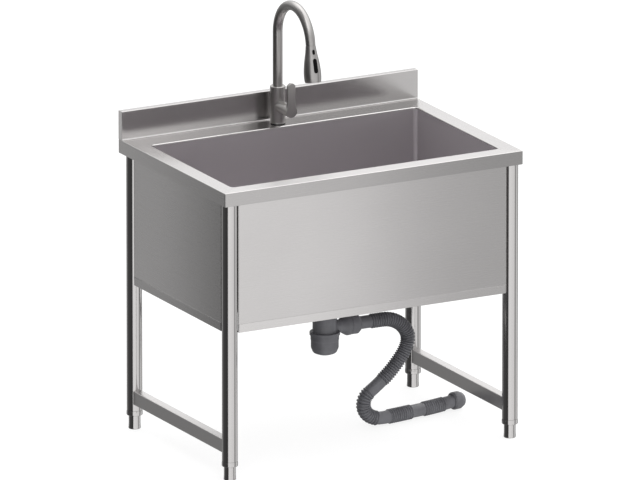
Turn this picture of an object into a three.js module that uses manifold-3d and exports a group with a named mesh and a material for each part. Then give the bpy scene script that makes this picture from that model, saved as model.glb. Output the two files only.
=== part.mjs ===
// A free-standing stainless steel sink with one deep basin, a backsplash and a pull-down faucet.
// Millimetres. +X points right, +Y to the back and +Z up, seen by a person who stands at the sink.
// The origin is on the floor, under the middle of the rim's outline.
import * as THREE from "three";
import { ConvexGeometry } from "three/addons/geometries/ConvexGeometry.js";
import { mergeVertices } from "three/addons/utils/BufferGeometryUtils.js";
import Module from "manifold-3d";

const wasm = await Module();
wasm.setup();

// ---- driving dimensions ----

const WIDTH = 900;
const DEPTH = 612;
const RIM_HEIGHT = 800;
const SHEET = 1.5; // sheet steel
const GAP = 0.3; // between pieces that touch

// Top: widths of the rim round the basin, and the edges folded down and up.
const RIM_SIDE = 46.5;
const RIM_FRONT = 48;
const RIM_BACK = 97;
const APRON_HEIGHT = 38;
const BACKSPLASH_HEIGHT = 80;
const BACKSPLASH_DEPTH = 20;

// Basin
const BASIN_DEPTH = 350;
const BASIN_CORNER = 12;
const BASIN_FLANGE = 5;
const FLOOR_FALL = 6; // from the walls to the drain
const DRAIN_SEAT = 60; // half the flat square round the drain
const DRAIN_HOLE = 44;

// Legs
const LEG_RADIUS = 21;
const LEG_X = 424.5;
const LEG_FRONT_Y = -283;
const LEG_BACK_Y = 265;
const LEG_TOP = 790;
const FOOT_HEIGHT = 38;
const COLLAR_HEIGHT = 14;
const SPIGOT_DROP = 50;
const STUD_RADIUS = 6;

// Skirt panels and side rails
const PANEL_BOTTOM = 407;
const PANEL_END = 19.5; // a panel's end, from the leg's axis
const PANEL_FACE = 13; // a panel's face, out from the line between leg centres
const HEM_HEIGHT = 24;
const RAIL_WIDTH = 25;
const RAIL_BOTTOM = 71;
const RAIL_TOP = 109;

// Trap: heights above the floor, and the outlet's length along +X from the drain's axis.
const TRAP_RADIUS = 33;
const TRAP_AXIS_Z = 296;
const TRAP_BODY_BOTTOM = 267;
const TRAP_SHOULDER = 343;
const FLANGE_RADIUS = 41.2;
const FLANGE_BOTTOM = 278;
const FLANGE_TOP = 287;
const BOTTLE_RADIUS = 37.5;
const BOTTLE_COLLAR = 38.5;
const BOTTLE_BOTTOM = 224;
const OUTLET_RADIUS = 16.5;
const BELL_RADIUS = 28.5;
const BELL_END = 73;
const NUT_END = 103;

// Drain hose and the round coupling on its end
const HOSE_RADIUS = 20;
const HOSE_ON_FLOOR = 20.5; // the centre line's height where the hose lies down
const FITTING_RADIUS = 24;
const FITTING_LENGTH = 34;

// Faucet: heights above the rim, and distances forward from the body's axis.
const FAUCET_Y = 244;
const SHANK_RADIUS = 16.5;
const SHANK_HOLE = 17.5;
const BODY_RADIUS = 20.8;
const BODY_TOP = 105;
const BODY_BASE = 3.3;
const SPOUT_RADIUS = 13.2;
const SPOUT_FOOT = 70;
const ARC_RADIUS = 94;
const ARC_HEIGHT = 254;
const ARC_TURN = THREE.MathUtils.degToRad(172);
const SPOUT_TAIL = 4; // straight end after the arc
const BARREL_HEIGHT = 51;
const BARREL_RADIUS = 15.6;
const BARREL_END = 54; // the lever tilts about this point
const HUB_RADIUS = 17.3;
const HUB_FRONT = 81;
const BLADE_TOP = 130;
const BLADE_WIDTH = 23;
const HEAD_LENGTH = 100;
const HEAD_WALL = 2.6;
const BUTTON_TILT = THREE.MathUtils.degToRad(8); // slope of the head's side under the buttons

// ---- places worked out from them ----

const rim = {
  left: -WIDTH / 2,
  right: WIDTH / 2,
  front: -DEPTH / 2,
  back: DEPTH / 2,
};
const opening = {
  left: rim.left + RIM_SIDE,
  right: rim.right - RIM_SIDE,
  front: rim.front + RIM_FRONT,
  back: rim.back - RIM_BACK,
};
const deckUnderside = RIM_HEIGHT - SHEET;
const basinTop = deckUnderside - GAP;
const basinFloor = RIM_HEIGHT - BASIN_DEPTH;
const drainSeat = basinFloor - FLOOR_FALL;
const drain = { x: 0, y: (opening.front + opening.back) / 2 };
const corners = {
  front_left: { x: -LEG_X, y: LEG_FRONT_Y },
  front_right: { x: LEG_X, y: LEG_FRONT_Y },
  back_left: { x: -LEG_X, y: LEG_BACK_Y },
  back_right: { x: LEG_X, y: LEG_BACK_Y },
};

// ---- materials ----

const metal = (color, roughness) =>
  new THREE.MeshStandardMaterial({ color, roughness, metalness: 1 });
const plastic = (color, roughness) =>
  new THREE.MeshStandardMaterial({ color, roughness, metalness: 0 });
const brushedSteel = metal(0xc9c7c5, 0.35);
const brushedNickel = metal(0xb4b0ac, 0.28);
const brass = metal(0xc2a15a, 0.35);
const zincScrew = metal(0xa9abad, 0.4);
const charcoalPlastic = plastic(0x3e3e43, 0.5);
const blackPlastic = plastic(0x141416, 0.35);
const whitePlastic = plastic(0xe2e0da, 0.5);
const blackRubber = plastic(0x1c1c1e, 0.8);
const braidedHose = metal(0x9a9a9c, 0.45);

// ---- geometry helpers: each takes and gives THREE.BufferGeometry ----

function solidOf(geometry) {
  const bare = geometry.index ? geometry.toNonIndexed() : geometry.clone();
  bare.deleteAttribute("normal");
  bare.deleteAttribute("uv");
  const merged = mergeVertices(bare, 1e-4);
  return new wasm.Manifold(
    new wasm.Mesh({
      numProp: 3,
      vertProperties: merged.attributes.position.array,
      triVerts: new Uint32Array(merged.index.array),
    }),
  );
}

function geometryOf(solid) {
  const { vertProperties, triVerts } = solid.getMesh();
  const geometry = new THREE.BufferGeometry();
  geometry.setAttribute("position", new THREE.BufferAttribute(vertProperties, 3));
  geometry.setIndex(new THREE.BufferAttribute(triVerts, 1));
  geometry.computeVertexNormals();
  return geometry;
}

const join = (...parts) =>
  geometryOf(parts.map(solidOf).reduce((whole, part) => whole.add(part)));

const cut = (base, ...tools) =>
  geometryOf(tools.map(solidOf).reduce((whole, tool) => whole.subtract(tool), solidOf(base)));

// A box between two corners.
function block([x0, y0, z0], [x1, y1, z1]) {
  const box = new THREE.BoxGeometry(x1 - x0, y1 - y0, z1 - z0);
  return box.translate((x0 + x1) / 2, (y0 + y1) / 2, (z0 + z1) / 2);
}

// A solid of revolution about Z. The profile is a list of [radius, height], and it is closed here.
// A profile that touches the axis starts and ends on it.
function turned(profile, segments = 16) {
  const onAxis = profile[0][0] === 0;
  const loop = onAxis ? profile : [...profile, profile[0]];
  const area = loop.reduce((sum, [r, z], i) => {
    const [nextR, nextZ] = loop[(i + 1) % loop.length];
    return sum + r * nextZ - nextR * z;
  }, 0);
  const points = loop.map(([r, z]) => new THREE.Vector2(r, z));
  if (area < 0) points.reverse();
  return new THREE.LatheGeometry(points, segments).rotateX(Math.PI / 2);
}

const rod = (radius, z0, z1, segments) =>
  turned([[0, z0], [radius, z0], [radius, z1], [0, z1]], segments);

const pipe = (inner, outer, z0, z1, segments) =>
  turned([[inner, z0], [outer, z0], [outer, z1], [inner, z1]], segments);

// A nut with flat sides and a round bore.
const manySidedNut = (inner, outer, z0, z1, sides) =>
  cut(rod(outer, z0, z1, sides), rod(inner, z0 - 1, z1 + 1));

// Points [radius, height] on an arc in a profile, from angle a0 to a1 in degrees.
function arc(r0, z0, radiusR, radiusZ, a0, a1, steps) {
  return Array.from({ length: steps + 1 }, (_, i) => {
    const angle = THREE.MathUtils.degToRad(a0 + ((a1 - a0) * i) / steps);
    return [r0 + radiusR * Math.cos(angle), z0 + radiusZ * Math.sin(angle)];
  });
}

// The outline of a rectangle with round corners.
function rectangle(x0, y0, x1, y1, radius) {
  const shape = new THREE.Shape();
  shape.absarc(x1 - radius, y0 + radius, radius, -Math.PI / 2, 0);
  shape.absarc(x1 - radius, y1 - radius, radius, 0, Math.PI / 2);
  shape.absarc(x0 + radius, y1 - radius, radius, Math.PI / 2, Math.PI);
  shape.absarc(x0 + radius, y0 + radius, radius, Math.PI, Math.PI * 1.5);
  shape.closePath();
  return shape;
}

function slab(shape, z0, z1, curveSegments = 4) {
  const options = { depth: z1 - z0, bevelEnabled: false, curveSegments };
  return new THREE.ExtrudeGeometry(shape, options).translate(0, 0, z0);
}

// Turns a piece made about Z so that its +Z runs forward, towards -Y.
const facingFront = (geometry) => geometry.rotateX(Math.PI / 2);

// ---- the scene graph ----

const sink = new THREE.Group();

function addPiece(name, geometry, material, { x = 0, y = 0, z = 0, turn = 0, to = sink } = {}) {
  const mesh = new THREE.Mesh(geometry, material);
  mesh.name = name;
  mesh.position.set(x, y, z);
  mesh.rotation.z = turn;
  to.add(mesh);
}

// ---- top ----

function rimDeck() {
  const outline = rectangle(rim.left, rim.front, rim.right, rim.back, 2);
  outline.holes.push(
    rectangle(opening.left, opening.front, opening.right, opening.back, BASIN_CORNER),
  );
  const apron = rectangle(rim.left, rim.front, rim.right, rim.back, 2);
  apron.holes.push(
    rectangle(rim.left + SHEET, rim.front + SHEET, rim.right - SHEET, rim.back - SHEET, 0.5),
  );
  const faucetHole = rod(SHANK_HOLE, deckUnderside - 1, RIM_HEIGHT + 1).translate(0, FAUCET_Y, 0);
  return cut(
    join(
      slab(outline, deckUnderside, RIM_HEIGHT),
      slab(apron, RIM_HEIGHT - APRON_HEIGHT, RIM_HEIGHT - SHEET / 2),
    ),
    faucetHole,
  );
}

// A box-folded sheet, open underneath.
function backsplash() {
  const bottom = RIM_HEIGHT + GAP;
  const top = RIM_HEIGHT + BACKSPLASH_HEIGHT;
  const front = rim.back - BACKSPLASH_DEPTH;
  return cut(
    block([rim.left, front, bottom], [rim.right, rim.back, top]),
    block(
      [rim.left + SHEET, front + SHEET, bottom - 1],
      [rim.right - SHEET, rim.back - SHEET, top - SHEET],
    ),
  );
}

// The wedge between the basin's level floor line and the flat seat round the drain.
function floorWedge(x0, y0, x1, y1, top, bottom, seat) {
  const ringAt = (left, front, right, back, z) => [
    new THREE.Vector3(left, front, z),
    new THREE.Vector3(right, front, z),
    new THREE.Vector3(right, back, z),
    new THREE.Vector3(left, back, z),
  ];
  return new ConvexGeometry([
    ...ringAt(x0, y0, x1, y1, top),
    ...ringAt(drain.x - seat, drain.y - seat, drain.x + seat, drain.y + seat, bottom),
  ]);
}

function basin() {
  const { left, right, front, back } = opening;
  const inset = BASIN_CORNER;
  const box = (grow, z0, z1, radius) =>
    slab(rectangle(left - grow, front - grow, right + grow, back + grow, radius), z0, z1);
  const outside = join(
    box(SHEET, basinFloor - SHEET, basinTop, BASIN_CORNER + SHEET),
    box(SHEET + BASIN_FLANGE, basinTop - SHEET, basinTop, BASIN_CORNER + SHEET + BASIN_FLANGE),
    floorWedge(left + inset, front + inset, right - inset, back - inset,
      basinFloor - 0.5, drainSeat - SHEET, DRAIN_SEAT + 1),
  );
  return cut(
    outside,
    box(0, basinFloor, basinTop + 1, BASIN_CORNER),
    floorWedge(left + inset, front + inset, right - inset, back - inset,
      basinFloor + 0.1, drainSeat, DRAIN_SEAT),
    rod(DRAIN_HOLE, drainSeat - 5, basinFloor + 1, 24).translate(drain.x, drain.y, 0),
  );
}

// ---- skirt panels: made facing -Y, with the middle of the face at the origin ----

function skirtPanel(width) {
  const height = LEG_TOP - PANEL_BOTTOM;
  const half = width / 2;
  const endReturn = 4; // it ends against the round leg
  const bottomReturn = 16;
  const hemProud = 1.2;
  const hemHalf = half - 2; // the folds along the bottom stop short of the legs
  return join(
    block([-half, 0, 0], [half, SHEET, height]),
    block([-half, 0, 0], [-half + SHEET, endReturn, height]),
    block([half - SHEET, 0, 0], [half, endReturn, height]),
    block([-hemHalf, 0, 0], [hemHalf, bottomReturn, SHEET]),
    block([-hemHalf, -hemProud, 0], [hemHalf, SHEET / 2, HEM_HEIGHT]),
  );
}

function addPanels() {
  const across = 2 * (LEG_X - PANEL_END);
  const along = LEG_BACK_Y - LEG_FRONT_Y - 2 * PANEL_END;
  const middleY = (LEG_FRONT_Y + LEG_BACK_Y) / 2;
  const z = PANEL_BOTTOM;
  const quarter = Math.PI / 2;
  addPiece("front_panel", skirtPanel(across), brushedSteel, { y: LEG_FRONT_Y - PANEL_FACE, z });
  addPiece("back_panel", skirtPanel(across), brushedSteel,
    { y: LEG_BACK_Y + PANEL_FACE, z, turn: 2 * quarter });
  addPiece("left_panel", skirtPanel(along), brushedSteel,
    { x: -LEG_X - PANEL_FACE, y: middleY, z, turn: -quarter });
  addPiece("right_panel", skirtPanel(along), brushedSteel,
    { x: LEG_X + PANEL_FACE, y: middleY, z, turn: quarter });
}

// ---- legs ----

const SCREW_Z = 768;
const SCREW_RADIUS = 3;
const LEG_BORE = LEG_RADIUS - SHEET;
const SPIGOT_RADIUS = LEG_BORE - GAP;

// A rod that points from the leg's axis towards the middle of the sink, at 45 degrees.
function towardsMiddle(geometry, corner) {
  const angle = Math.atan2(-Math.sign(corner.y), -Math.sign(corner.x));
  return geometry.rotateY(Math.PI / 2).rotateZ(angle).translate(0, 0, SCREW_Z);
}

const screwHole = (corner) => towardsMiddle(rod(SCREW_RADIUS + GAP, 10, 30, 12), corner);

function legTube(corner) {
  return cut(
    pipe(LEG_BORE, LEG_RADIUS, FOOT_HEIGHT + COLLAR_HEIGHT + GAP, LEG_TOP),
    screwHole(corner),
  );
}

// The cup under the deck that the leg slides over.
function legSpigot(corner) {
  const wall = 3;
  const inner = SPIGOT_RADIUS - wall;
  const cup = turned([
    [0, basinTop],
    [LEG_RADIUS, basinTop],
    [LEG_RADIUS, LEG_TOP + GAP],
    [SPIGOT_RADIUS, LEG_TOP + GAP],
    [SPIGOT_RADIUS, LEG_TOP - SPIGOT_DROP],
    [inner, LEG_TOP - SPIGOT_DROP],
    [inner, LEG_TOP],
    [0, LEG_TOP],
  ]);
  return cut(cup, screwHole(corner));
}

function legScrew(corner) {
  const screw = turned([
    [0, SPIGOT_RADIUS - 4],
    [SCREW_RADIUS, SPIGOT_RADIUS - 4],
    [SCREW_RADIUS, LEG_RADIUS + GAP],
    [5, LEG_RADIUS + GAP],
    [5, LEG_RADIUS + 3],
    [0, LEG_RADIUS + 3],
  ], 12);
  return towardsMiddle(screw, corner);
}

// The plug in the leg's lower end, with the collar that shows and the bore for the foot's stud.
function legInsert() {
  const collar = LEG_RADIUS + 0.8;
  const bore = STUD_RADIUS + 0.4;
  const plugTop = 92;
  return turned([
    [bore, FOOT_HEIGHT],
    [collar - 2.5, FOOT_HEIGHT],
    [collar, FOOT_HEIGHT + 2.5],
    [collar, FOOT_HEIGHT + COLLAR_HEIGHT - 4],
    [collar - 0.8, FOOT_HEIGHT + COLLAR_HEIGHT],
    [SPIGOT_RADIUS, FOOT_HEIGHT + COLLAR_HEIGHT],
    [SPIGOT_RADIUS, plugTop],
    [bore, plugTop],
  ]);
}

function foot() {
  const top = FOOT_HEIGHT - GAP;
  const studTop = 88;
  return turned([
    [0, 0],
    [15.4, 0],
    [16.6, 1.5],
    [15.9, 14],
    [15.9, top],
    [STUD_RADIUS, top],
    [STUD_RADIUS, studTop],
    [0, studTop],
  ]);
}

function addLegs() {
  for (const [place, corner] of Object.entries(corners)) {
    addPiece(`leg_${place}`, legTube(corner), brushedSteel, corner);
    addPiece(`leg_spigot_${place}`, legSpigot(corner), brushedSteel, corner);
    addPiece(`leg_screw_${place}`, legScrew(corner), zincScrew, corner);
    addPiece(`leg_insert_${place}`, legInsert(), brushedSteel, corner);
    addPiece(`foot_${place}`, foot(), brushedSteel, corner);
  }
}

// A square-cornered tube between two legs, its ends shaped to the round of the legs.
function sideRail() {
  const half = RAIL_WIDTH / 2;
  const legClearance = LEG_RADIUS + GAP;
  return cut(
    block([-half, LEG_FRONT_Y, RAIL_BOTTOM], [half, LEG_BACK_Y, RAIL_TOP]),
    block(
      [-half + SHEET, LEG_FRONT_Y - 1, RAIL_BOTTOM + SHEET],
      [half - SHEET, LEG_BACK_Y + 1, RAIL_TOP - SHEET],
    ),
    rod(legClearance, RAIL_BOTTOM - 1, RAIL_TOP + 1).translate(0, LEG_FRONT_Y, 0),
    rod(legClearance, RAIL_BOTTOM - 1, RAIL_TOP + 1).translate(0, LEG_BACK_Y, 0),
  );
}

// ---- drain: heights from the seat, on the drain's axis ----

const TAIL_BOTTOM = -72;
const TAIL_RADIUS = 24;

function drainFlange() {
  return turned([
    [57, GAP],
    [57, 1.3],
    [54, 2.3],
    [42.5, 0.6],
    [41.5, -1],
    [40, -38],
    [20, -40],
    [20, TAIL_BOTTOM],
    [TAIL_RADIUS, TAIL_BOTTOM],
    [TAIL_RADIUS, -44],
    [43, -42],
    [43.5, GAP],
  ], 24);
}

const drainGasket = () => pipe(44.3, 56, -4.5, -SHEET - GAP, 24);

function drainLocknut() {
  const ring = pipe(43.8, 54, -16, -4.8, 24);
  const lugs = Array.from({ length: 4 }, (_, i) =>
    block([52, -6, -16], [60, 6, -4.8]).rotateZ((i * Math.PI) / 2),
  );
  return join(ring, ...lugs);
}

// The lift-out strainer: a slotted cup with a knob on a post.
function strainerBasket() {
  const cup = turned([
    [0, -33],
    [35.5, -33],
    [38.5, 1.2],
    [43, 1.2],
    [43, 2.2],
    [37.3, 2.2],
    [34.4, -31.8],
    [3, -31.8],
    [3, -5],
    ...arc(0, 0, 6.5, 5, -60, 90, 4),
  ]);
  const slots = Array.from({ length: 8 }, (_, i) =>
    block([12, -1.5, -35], [28, 1.5, -30]).rotateZ((i * Math.PI) / 4),
  );
  return cut(cup, ...slots);
}

// ---- trap: heights from the floor, on the drain's axis ----

const trapInletNut = () => manySidedNut(TAIL_RADIUS + 0.8, 34, 352, 386, 10);

function trapBody() {
  const wall = 3;
  const neck = TAIL_RADIUS;
  const neckTop = drainSeat + TAIL_BOTTOM - GAP;
  const vessel = turned([
    [neck, neckTop],
    [neck, TRAP_SHOULDER + 5],
    [TRAP_RADIUS, TRAP_SHOULDER],
    [TRAP_RADIUS, FLANGE_TOP],
    [FLANGE_RADIUS, FLANGE_TOP],
    [FLANGE_RADIUS, FLANGE_BOTTOM],
    [TRAP_RADIUS, FLANGE_BOTTOM],
    [TRAP_RADIUS, TRAP_BODY_BOTTOM],
    [TRAP_RADIUS - wall, TRAP_BODY_BOTTOM],
    [TRAP_RADIUS - wall, TRAP_SHOULDER - wall],
    [neck - wall, TRAP_SHOULDER],
    [neck - wall, neckTop],
  ]);
  const alongX = (geometry) => geometry.rotateY(Math.PI / 2).translate(0, 0, TRAP_AXIS_Z);
  const outlet = turned([
    [0, TRAP_RADIUS - 6],
    [OUTLET_RADIUS + 1, TRAP_RADIUS - 6],
    [OUTLET_RADIUS + 1, BELL_END - 28],
    [BELL_RADIUS - 2.5, BELL_END - 13],
    [BELL_RADIUS, BELL_END - 10],
    [BELL_RADIUS, BELL_END],
    [0, BELL_END],
  ]);
  const bore = rod(OUTLET_RADIUS - wall, 10, BELL_END + 1);
  const vesselInside = rod(TRAP_RADIUS - wall, TRAP_BODY_BOTTOM - 1, TRAP_SHOULDER - wall);
  return cut(join(vessel, alongX(outlet)), alongX(bore), vesselInside);
}

// The tube inside that takes the water down below the outlet, which makes the water seal.
function dipTube() {
  const top = drainSeat + TAIL_BOTTOM - GAP;
  return turned([
    [15, 246],
    [17, 246],
    [17, top - 3],
    [20.4, top - 3],
    [20.4, top],
    [15, top],
  ]);
}

const trapSeal = () =>
  pipe(31.4, TRAP_RADIUS, TRAP_BODY_BOTTOM - 4 + GAP, TRAP_BODY_BOTTOM - GAP);

function trapBottle() {
  const wall = 3;
  const ledge = TRAP_BODY_BOTTOM - 4;
  const collarTop = FLANGE_BOTTOM - GAP;
  const curveTop = 248;
  const depth = curveTop - BOTTLE_BOTTOM;
  const collarBore = TRAP_RADIUS + 0.4;
  return turned([
    ...arc(0, curveTop, BOTTLE_RADIUS, depth, -90, 0, 5),
    [BOTTLE_RADIUS, ledge],
    [BOTTLE_COLLAR, ledge + 2],
    [BOTTLE_COLLAR, collarTop - 1],
    [BOTTLE_COLLAR - 1, collarTop],
    [collarBore, collarTop],
    [collarBore, ledge],
    [31, ledge],
    [31, ledge - 4],
    [BOTTLE_RADIUS - wall, ledge - 8],
    ...arc(0, curveTop, BOTTLE_RADIUS - wall, depth - wall, 0, -90, 5),
  ]);
}

// The union nut that holds the hose on the outlet, on the outlet's axis.
function outletNut() {
  return turned([
    [17.3, BELL_END + GAP],
    [BELL_RADIUS - 0.5, BELL_END + GAP],
    [BELL_RADIUS - 0.5, NUT_END - 7],
    [20.5, NUT_END],
    [17.3, NUT_END],
  ]).rotateY(Math.PI / 2);
}

// ---- drain hose: the middle of the hose as [along X from the drain, back from it, height] ----

const hoseRoute = [
  [NUT_END + GAP, 0, 296],
  [119, 0, 296],
  [136, 0, 296],
  [153, 0, 296],
  [170, 0, 296],
  [188, 0, 295],
  [206, 0, 290.5],
  [224, 0, 281],
  [238, 0, 268.5],
  [248.5, 0, 253],
  [253, 0, 235],
  [249, 0, 215],
  [238, 0, 194],
  [222, 0, 173],
  [204, 0, 153],
  [186, 0, 136],
  [168, 0, 121.5],
  [149, 0, 107.5],
  [131, 0, 94],
  [120, 0, 78],
  [118, 0, 60],
  [124, 0, 44],
  [137, 0, 31],
  [157, 0, HOSE_ON_FLOOR + 2],
  [180, 1.5, HOSE_ON_FLOOR],
  [205, 4.5, HOSE_ON_FLOOR],
  [240, 10, HOSE_ON_FLOOR],
  [280, 17, HOSE_ON_FLOOR],
  [320, 24, HOSE_ON_FLOOR],
  [360, 31, HOSE_ON_FLOOR + 0.8],
  [392, 36.6, HOSE_ON_FLOOR + 2.4],
  [412, 40.1, HOSE_ON_FLOOR + 3.6],
].map(([x, y, z]) => new THREE.Vector3(drain.x + x, drain.y + y, z));

function drainHose() {
  const section = new THREE.Shape().absarc(0, 0, HOSE_RADIUS, 0, 2 * Math.PI);
  return new THREE.ExtrudeGeometry(section, {
    steps: 48,
    curveSegments: 5,
    extrudePath: new THREE.CatmullRomCurve3(hoseRoute),
  });
}

// The round coupling on the hose's end, level with the floor and in line with the last stretch.
function addHoseFitting() {
  const [before, end] = hoseRoute.slice(-2);
  const heading = Math.atan2(end.y - before.y, end.x - before.x);
  const holder = new THREE.Group();
  const start = 2;
  holder.position.set(end.x, end.y, FITTING_RADIUS + GAP);
  holder.rotation.z = heading;
  sink.add(holder);
  const coupling = turned([
    [9, start],
    [FITTING_RADIUS - 4, start],
    [FITTING_RADIUS, start + 4],
    ...arc(14, FITTING_LENGTH - 12, FITTING_RADIUS - 14, 12, 0, 90, 4),
    [9, FITTING_LENGTH],
  ]).rotateY(Math.PI / 2);
  addPiece("hose_end_fitting", coupling, charcoalPlastic, { to: holder });
}

// ---- faucet: pieces on the body's axis, heights from the rim ----

function faucetBody() {
  const barrel = facingFront(rod(BARREL_RADIUS, 0, BARREL_END)).translate(0, 0, BARREL_HEIGHT);
  const valveBore = facingFront(rod(12, 14, BARREL_END + 1)).translate(0, 0, BARREL_HEIGHT);
  const column = turned([
    [0, BODY_BASE],
    [BODY_RADIUS, BODY_BASE],
    [BODY_RADIUS, BODY_TOP - 1.5],
    [BODY_RADIUS - 1.5, BODY_TOP],
    [0, BODY_TOP],
  ], 24);
  return cut(join(column, barrel), valveBore, rod(15, SPOUT_FOOT - 2, BODY_TOP + 1));
}

const baseGasket = () => pipe(SHANK_RADIUS + 0.8, BODY_RADIUS + 1.5, GAP, BODY_BASE - GAP);

const faucetShank = () => pipe(12, SHANK_RADIUS, -60, BODY_BASE - GAP);

const shankWasher = () => pipe(SHANK_RADIUS + 0.8, 27, -4.5, -SHEET - GAP);

const shankNut = () => manySidedNut(SHANK_RADIUS + 0.4, 25, -17, -4.8, 6);

const spoutBush = () => pipe(SPOUT_RADIUS + 0.4, SPOUT_RADIUS + 1.4, SPOUT_FOOT, BODY_TOP - 0.5);

// The gooseneck: a riser, an arc that leans forward, and a short straight tail.
class SpoutPath extends THREE.Curve {
  getPoint(t, target = new THREE.Vector3()) {
    const riser = ARC_HEIGHT - SPOUT_FOOT;
    const bend = ARC_RADIUS * ARC_TURN;
    const s = t * (riser + bend + SPOUT_TAIL);
    if (s <= riser) return target.set(0, 0, SPOUT_FOOT + s);
    const angle = Math.min(s - riser, bend) / ARC_RADIUS;
    const tail = Math.max(s - riser - bend, 0);
    return target.set(
      0,
      -ARC_RADIUS * (1 - Math.cos(angle)) - tail * Math.sin(angle),
      ARC_HEIGHT + ARC_RADIUS * Math.sin(angle) + tail * Math.cos(angle),
    );
  }
}

const spoutPath = new SpoutPath();

function spoutTube() {
  const section = new THREE.Shape().absarc(0, 0, SPOUT_RADIUS, 0, 2 * Math.PI);
  section.holes.push(new THREE.Path().absarc(0, 0, SPOUT_RADIUS - SHEET, 0, 2 * Math.PI));
  return new THREE.ExtrudeGeometry(section, {
    steps: 28,
    curveSegments: 7,
    extrudePath: spoutPath,
  });
}

// ---- mixer valve and lever: made about Z, with +Z as the way forward from the body's axis ----

const valveCartridge = () => rod(11.6, 14.4, 49);

const valveStem = () => rod(7, 49.4, 52.4);

// A spherical cap about the point that the lever tilts about.
function bonnetDome() {
  const mouth = 50;
  return turned([
    ...arc(0, BARREL_END, BARREL_RADIUS, BARREL_RADIUS, 1.5, mouth, 4),
    ...arc(0, BARREL_END, BARREL_RADIUS - 2, BARREL_RADIUS - 2, mouth, 1.8, 4),
  ]);
}

const leverStem = () => rod(3.5, 54.6, 76, 12);

function leverHandle() {
  const socket = BARREL_RADIUS + 0.6;
  const skirt = Math.asin(3.2 / socket) * THREE.MathUtils.RAD2DEG;
  const hub = turned([
    [0, HUB_FRONT],
    [HUB_RADIUS - 2.3, HUB_FRONT],
    [HUB_RADIUS, HUB_FRONT - 2.3],
    [HUB_RADIUS, BARREL_END + 3.2],
    ...arc(0, BARREL_END, socket, socket, skirt, 90, 6),
  ]);
  const half = BLADE_WIDTH / 2;
  const blade = new THREE.Shape();
  blade.moveTo(-half, 0);
  blade.lineTo(half, 0);
  blade.lineTo(half, BLADE_TOP - BARREL_HEIGHT - half);
  blade.absarc(0, BLADE_TOP - BARREL_HEIGHT - half, half, 0, Math.PI);
  blade.closePath();
  const up = slab(blade, HUB_FRONT - 9, HUB_FRONT - 3, 8);
  return cut(join(hub, up), rod(3.8, 60, 76.3, 12));
}

// ---- spray head: the joint with the spout is the origin, and the head hangs towards -Z ----

const headOutline = new THREE.SplineCurve([
  new THREE.Vector2(13.4, 0),
  new THREE.Vector2(15.9, 21),
  new THREE.Vector2(20.4, 46),
  new THREE.Vector2(23.1, 71),
  new THREE.Vector2(23.2, 90),
  new THREE.Vector2(22, HEAD_LENGTH),
]);

// The head's outer radius at a distance below the joint.
function headRadius(below) {
  const points = headOutline.getPoints(60);
  const after = points.findIndex((p) => p.y >= below);
  const [a, b] = [points[after - 1], points[after]];
  return a.x + ((b.x - a.x) * (below - a.y)) / (b.y - a.y);
}

// An oval plug that stands on the head's front at a distance below the joint.
function ovalPlug(width, height, below, inner, outer) {
  const r = width / 2;
  const reach = height / 2 - r;
  const oval = new THREE.Shape();
  oval.absarc(0, reach, r, 0, Math.PI);
  oval.absarc(0, -reach, r, Math.PI, 2 * Math.PI);
  oval.closePath();
  return slab(oval, inner, outer, 6)
    .rotateX(Math.PI / 2 - BUTTON_TILT)
    .translate(0, -headRadius(below), -below);
}

const smallButton = { width: 7, height: 13, below: 18 };
const longButton = { width: 11, height: 39, below: 54.5 };

const buttonPlug = ({ width, height, below }) => ovalPlug(width, height, below, -4.4, 0.8);

const buttonHole = ({ width, height, below }) =>
  ovalPlug(width + 0.8, height + 0.8, below, -9, 5);

function sprayShell() {
  const outside = headOutline.getPoints(8).map((p) => [p.x, -p.y]);
  const inside = outside
    .slice(2)
    .reverse()
    .map(([r, z]) => [r - HEAD_WALL, z]);
  const shell = turned([...outside, ...inside, [6.6, -12], [6.6, 0]]);
  return cut(shell, buttonHole(smallButton), buttonHole(longButton));
}

const sprayNozzle = () => rod(19, -HEAD_LENGTH + 1, -HEAD_LENGTH + 5);

const dockCollar = () => pipe(8, 10.2, 0.8, 14);

const sprayHose = () => rod(6, -16, 20, 16);

function addFaucet() {
  const faucet = new THREE.Group();
  faucet.position.set(0, FAUCET_Y, RIM_HEIGHT);
  sink.add(faucet);
  const place = { to: faucet };
  addPiece("faucet_base_gasket", baseGasket(), blackRubber, place);
  addPiece("faucet_body", faucetBody(), brushedNickel, place);
  addPiece("faucet_shank", faucetShank(), brass, place);
  addPiece("shank_washer", shankWasher(), zincScrew, place);
  addPiece("shank_nut", shankNut(), brass, place);
  addPiece("spout_bush", spoutBush(), whitePlastic, place);
  addPiece("spout_tube", spoutTube(), brushedNickel, place);

  const valve = { z: BARREL_HEIGHT, to: faucet };
  addPiece("valve_cartridge", facingFront(valveCartridge()), whitePlastic, valve);
  addPiece("valve_stem", facingFront(valveStem()), brass, valve);
  addPiece("bonnet_dome", facingFront(bonnetDome()), brushedNickel, valve);
  addPiece("lever_stem", facingFront(leverStem()), brass, valve);
  addPiece("lever_handle", facingFront(leverHandle()), brushedNickel, valve);
  addSprayHead(faucet);
}

function addSprayHead(faucet) {
  const end = spoutPath.getPoint(1);
  const head = new THREE.Group();
  head.position.copy(end);
  head.position.z -= GAP;
  head.rotation.x = ARC_TURN - Math.PI;
  faucet.add(head);
  const place = { to: head };
  addPiece("dock_collar", dockCollar(), whitePlastic, place);
  addPiece("spray_head", sprayShell(), brushedNickel, place);
  addPiece("spray_nozzle", sprayNozzle(), blackPlastic, place);
  addPiece("spray_hose", sprayHose(), braidedHose, place);
  addPiece("spray_button_small", buttonPlug(smallButton), blackPlastic, place);
  addPiece("spray_button_long", buttonPlug(longButton), blackPlastic, place);
}

// ---- put together ----

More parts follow.
